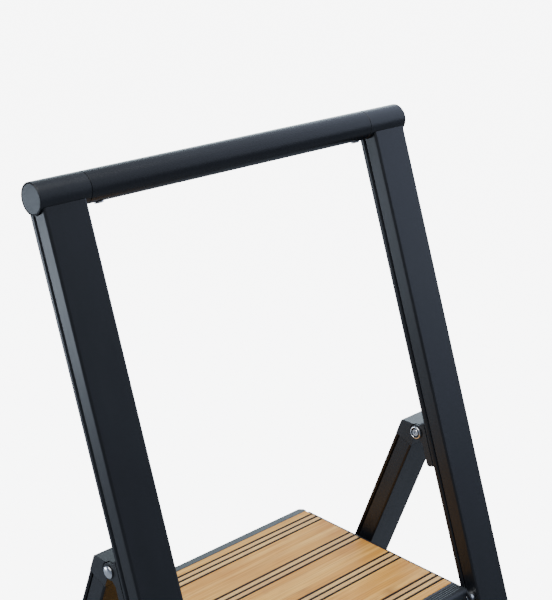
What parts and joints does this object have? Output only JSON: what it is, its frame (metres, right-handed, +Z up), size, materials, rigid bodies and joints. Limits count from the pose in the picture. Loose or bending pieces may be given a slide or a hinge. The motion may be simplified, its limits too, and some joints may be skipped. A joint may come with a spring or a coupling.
{
  "type": "folding step stool",
  "caption": "Slim folding step stool with flat bamboo treads, leaning front rails that carry a round hand rail, and rear legs that fold in behind them.",
  "frame": {"origin": "on the floor, under the middle of the open stool's feet", "axes": "+X to the right of someone facing the treads, +Y from the front rails to the rear legs, +Z up"},
  "size_m": [0.4458, 0.5385, 0.9692],
  "materials": {
    "satin_black": "satin black anodised aluminium",
    "moulded_charcoal": "matt charcoal moulding",
    "bright_steel": "bright plated steel",
    "black_rubber": "matt black rubber",
    "bamboo": "clear lacquered bamboo",
    "grip_rubber": "matt black-brown grip strips",
    "grey_nylon": "dark grey nylon"
  },
  "bodies": {
    "front_frame": {"handle_tube": "satin_black", "front_cross_bar": "satin_black", "rail_left": "satin_black", "rail_right": "satin_black", "handle_connector_left": "moulded_charcoal", "handle_connector_right": "moulded_charcoal", "handle_screw_left": "bright_steel", "handle_screw_right": "bright_steel", "front_foot_left": "black_rubber", "front_foot_right": "black_rubber", "cross_bar_screw_left": "bright_steel", "cross_bar_screw_right": "bright_steel", "hinge_bracket_left": "moulded_charcoal", "hinge_bracket_right": "moulded_charcoal", "bracket_rivet_left": "bright_steel", "bracket_rivet_right": "bright_steel", "pivot_bolt_left": "bright_steel", "pivot_bolt_right": "bright_steel", "pivot_nut_left": "bright_steel", "pivot_nut_right": "bright_steel", "top_tread_stud_left": "bright_steel", "top_tread_stud_right": "bright_steel", "lower_tread_stud_left": "bright_steel", "lower_tread_stud_right": "bright_steel"},
    "rear_frame": {"upper_cross_tube": "satin_black", "lower_cross_tube": "satin_black", "leg_left": "satin_black", "leg_right": "satin_black", "leg_cap_left": "moulded_charcoal", "leg_cap_right": "moulded_charcoal", "hinge_bush_left": "grey_nylon", "hinge_bush_right": "grey_nylon", "rear_foot_left": "black_rubber", "rear_foot_right": "black_rubber", "upper_tube_screw_left": "bright_steel", "upper_tube_screw_right": "bright_steel", "lower_tube_screw_left": "bright_steel", "lower_tube_screw_right": "bright_steel"},
    "top_tread": {"top_tread_board": "bamboo", "top_tread_grip_inlay": "grip_rubber", "top_tread_nosing": "moulded_charcoal", "top_tread_rear_trim": "moulded_charcoal", "top_tread_cheek_left": "moulded_charcoal", "top_tread_cheek_right": "moulded_charcoal", "top_tread_tie_rivet_left": "bright_steel", "top_tread_tie_rivet_right": "bright_steel", "tread_catch_left": "grey_nylon", "tread_catch_right": "grey_nylon"},
    "lower_tread": {"lower_tread_board": "bamboo", "lower_tread_grip_inlay": "grip_rubber", "lower_tread_nosing": "moulded_charcoal", "lower_tread_rear_trim": "moulded_charcoal", "lower_tread_cheek_left": "moulded_charcoal", "lower_tread_cheek_right": "moulded_charcoal", "lower_tread_tie_rivet_left": "bright_steel", "lower_tread_tie_rivet_right": "bright_steel"},
    "tie_bar_left": {"tie_bar_left": "moulded_charcoal"},
    "tie_bar_right": {"tie_bar_right": "moulded_charcoal"}
  },
  "joints": [
    {"name": "rear_frame_fold", "type": "hinge", "parent": "front_frame", "child": "rear_frame", "pos_m": [0, -0.00801, 0.64521], "axis": [-1, 0, 0], "range_deg": [0, 40.3]},
    {"name": "top_tread_fold", "type": "hinge", "parent": "front_frame", "child": "top_tread", "pos_m": [0, -0.08774, 0.488], "axis": [1, 0, 0], "range_deg": [0, 71.1]},
    {"name": "lower_tread_fold", "type": "hinge", "parent": "front_frame", "child": "lower_tread", "pos_m": [0, -0.17382, 0.238], "axis": [1, 0, 0], "range_deg": [0, 71.1]},
    {"name": "tie_bar_left_swing", "type": "hinge", "parent": "top_tread", "child": "tie_bar_left", "pos_m": [0, 0.02226, 0.47], "axis": [1, 0, 0], "range_deg": [-71.1, 0]},
    {"name": "tie_bar_right_swing", "type": "hinge", "parent": "top_tread", "child": "tie_bar_right", "pos_m": [0, 0.02226, 0.47], "axis": [1, 0, 0], "range_deg": [-71.1, 0]}
  ],
  "couplings": [
    {"joint": "top_tread_fold", "follows": "rear_frame_fold", "ratio": 1.7618},
    {"joint": "lower_tread_fold", "follows": "rear_frame_fold", "ratio": 1.7618},
    {"joint": "tie_bar_left_swing", "follows": "rear_frame_fold", "ratio": -1.7618},
    {"joint": "tie_bar_right_swing", "follows": "rear_frame_fold", "ratio": -1.7618}
  ]
}
